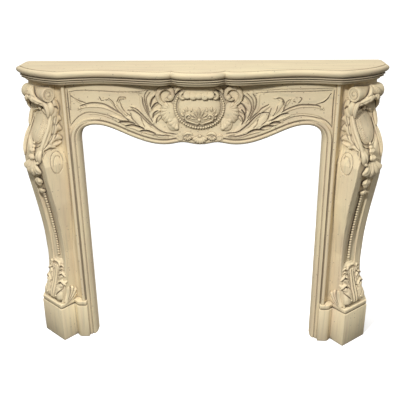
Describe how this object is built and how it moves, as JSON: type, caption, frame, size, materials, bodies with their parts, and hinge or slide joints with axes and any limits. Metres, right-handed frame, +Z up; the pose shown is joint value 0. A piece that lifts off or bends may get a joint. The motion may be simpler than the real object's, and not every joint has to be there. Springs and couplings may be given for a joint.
{
  "type": "carved fireplace surround",
  "caption": "Carved limestone fireplace surround: serpentine shelf, arched frieze with beaded cartouche and foliage, and scrolled console jambs on plinths.",
  "frame": {"origin": "on the floor, midway across the surround and midway through its depth", "axes": "+X to the right along the shelf, seen from the room; +Y from the room to the wall; +Z up"},
  "size_m": [1.472, 0.284, 1.222],
  "materials": {
    "limestone": "matt honed limestone with a warm cream patina"
  },
  "bodies": {
    "root": {"mantel_shelf": "limestone", "frieze": "limestone", "left_jamb": "limestone", "right_jamb": "limestone"}
  },
  "joints": []
}
